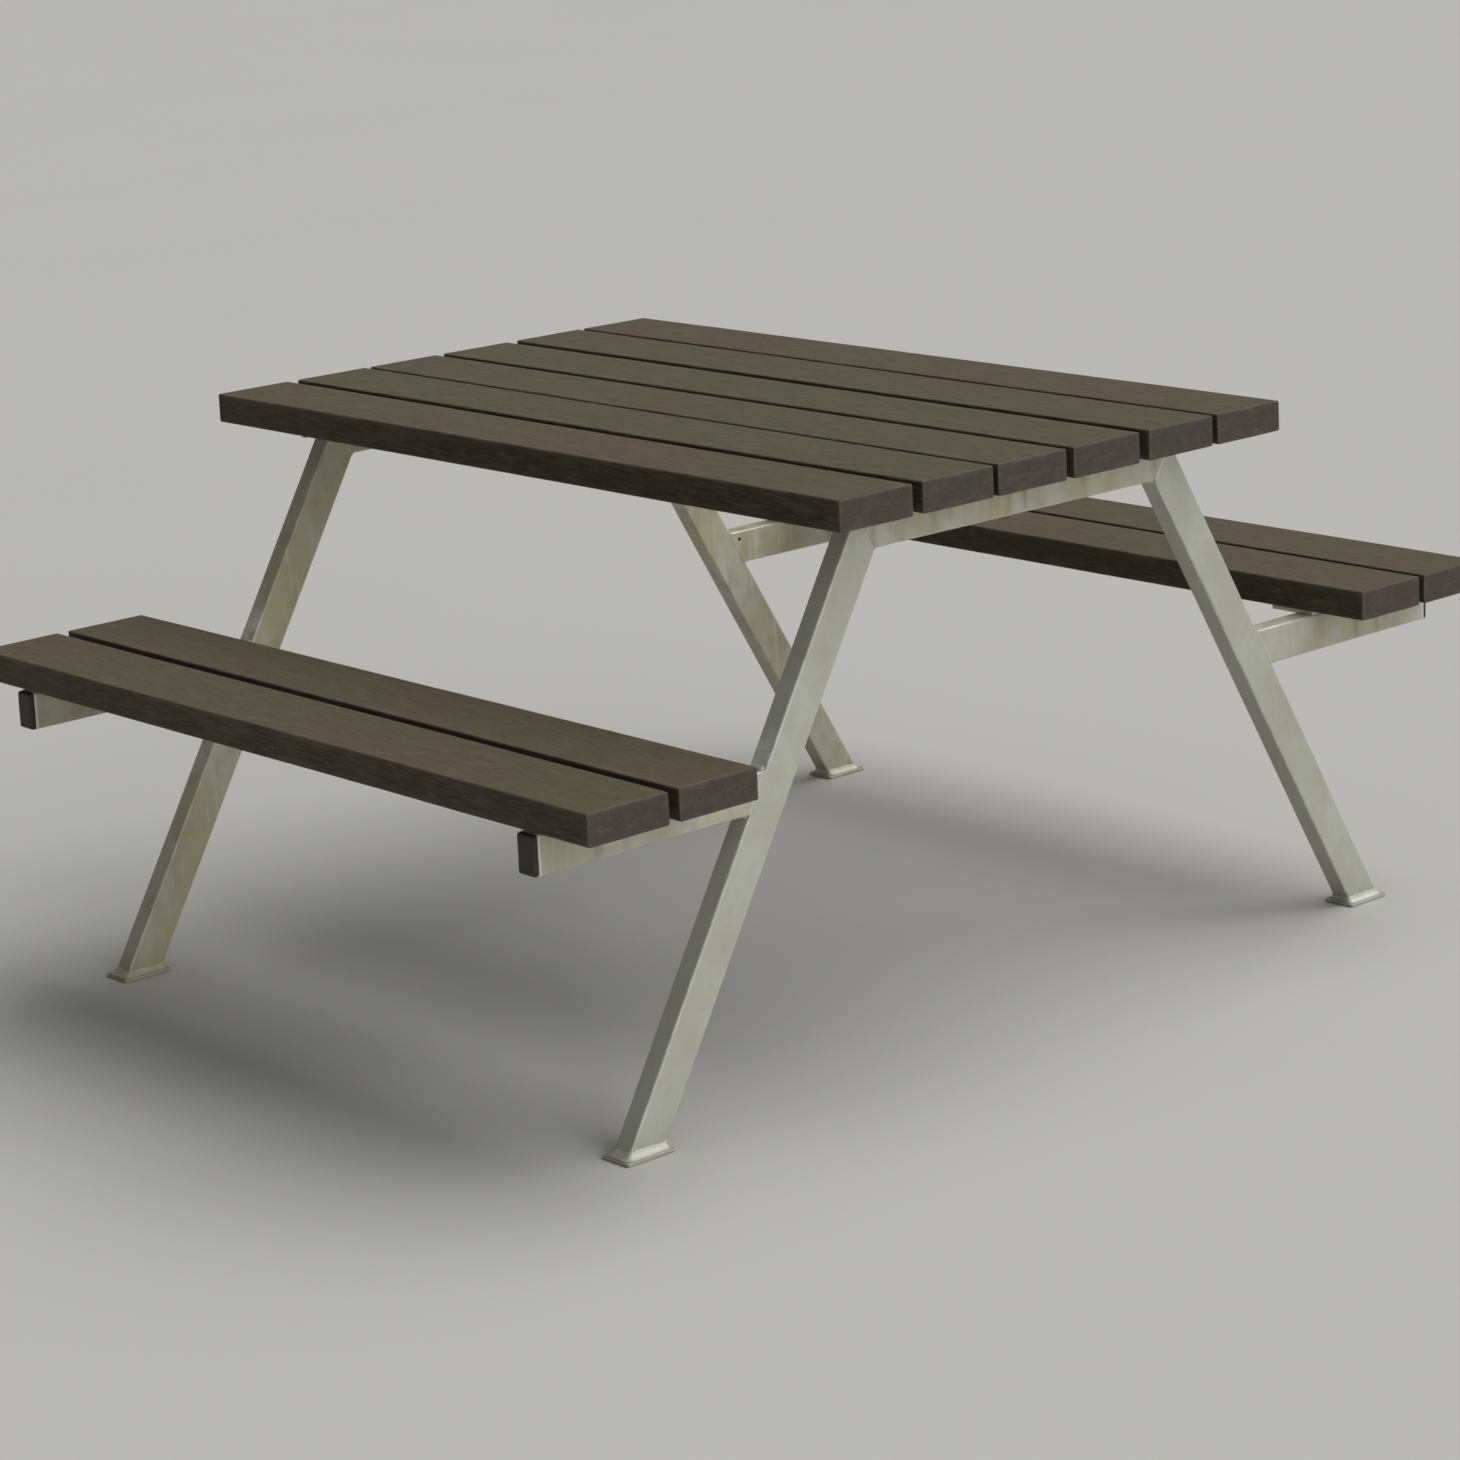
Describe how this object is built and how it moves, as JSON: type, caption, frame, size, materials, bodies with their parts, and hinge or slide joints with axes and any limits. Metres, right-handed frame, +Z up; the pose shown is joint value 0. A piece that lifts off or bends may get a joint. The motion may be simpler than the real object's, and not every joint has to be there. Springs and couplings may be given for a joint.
{
  "type": "picnic table",
  "caption": "Free-standing picnic table: plank top and plank benches on two welded end frames of galvanised rectangular tube.",
  "frame": {"origin": "on the ground, in the middle of the footprint", "axes": "+X along the planks, +Y from the front bench to the back bench, +Z up"},
  "size_m": [1.286, 1.604, 0.75],
  "materials": {
    "recycled_plastic": "extruded recycled plastic plank, matt, faintly mottled brown-grey",
    "cap_plastic": "moulded polyethylene, dark grey",
    "galvanised_steel": "hot-dip galvanised, weathered, mottled",
    "zinc_plated_steel": "zinc plated, satin"
  },
  "bodies": {
    "root": {"arm_welds_left": "galvanised_steel", "arm_welds_right": "galvanised_steel", "back_arm_left": "galvanised_steel", "back_arm_right": "galvanised_steel", "back_cap_left": "cap_plastic", "back_cap_right": "cap_plastic", "back_foot_left": "galvanised_steel", "back_foot_right": "galvanised_steel", "back_leg_left": "galvanised_steel", "back_leg_right": "galvanised_steel", "back_seat_plank_inner": "recycled_plastic", "back_seat_plank_outer": "recycled_plastic", "back_seat_screws_left": "zinc_plated_steel", "back_seat_screws_right": "zinc_plated_steel", "back_seat_washers_left": "zinc_plated_steel", "back_seat_washers_right": "zinc_plated_steel", "back_strip_left": "galvanised_steel", "back_strip_right": "galvanised_steel", "corner_welds_left": "galvanised_steel", "corner_welds_right": "galvanised_steel", "foot_welds_left": "galvanised_steel", "foot_welds_right": "galvanised_steel", "front_arm_left": "galvanised_steel", "front_arm_right": "galvanised_steel", "front_cap_left": "cap_plastic", "front_cap_right": "cap_plastic", "front_foot_left": "galvanised_steel", "front_foot_right": "galvanised_steel", "front_leg_left": "galvanised_steel", "front_leg_right": "galvanised_steel", "front_seat_plank_inner": "recycled_plastic", "front_seat_plank_outer": "recycled_plastic", "front_seat_screws_left": "zinc_plated_steel", "front_seat_screws_right": "zinc_plated_steel", "front_seat_washers_left": "zinc_plated_steel", "front_seat_washers_right": "zinc_plated_steel", "front_strip_left": "galvanised_steel", "front_strip_right": "galvanised_steel", "strip_welds_left": "galvanised_steel", "strip_welds_right": "galvanised_steel", "top_plank_1": "recycled_plastic", "top_plank_2": "recycled_plastic", "top_plank_3": "recycled_plastic", "top_plank_4": "recycled_plastic", "top_plank_5": "recycled_plastic", "top_plank_6": "recycled_plastic", "top_rail_left": "galvanised_steel", "top_rail_right": "galvanised_steel", "top_screws_left": "zinc_plated_steel", "top_screws_right": "zinc_plated_steel", "top_strip_left": "galvanised_steel", "top_strip_right": "galvanised_steel", "top_washers_left": "zinc_plated_steel", "top_washers_right": "zinc_plated_steel"}
  },
  "joints": []
}
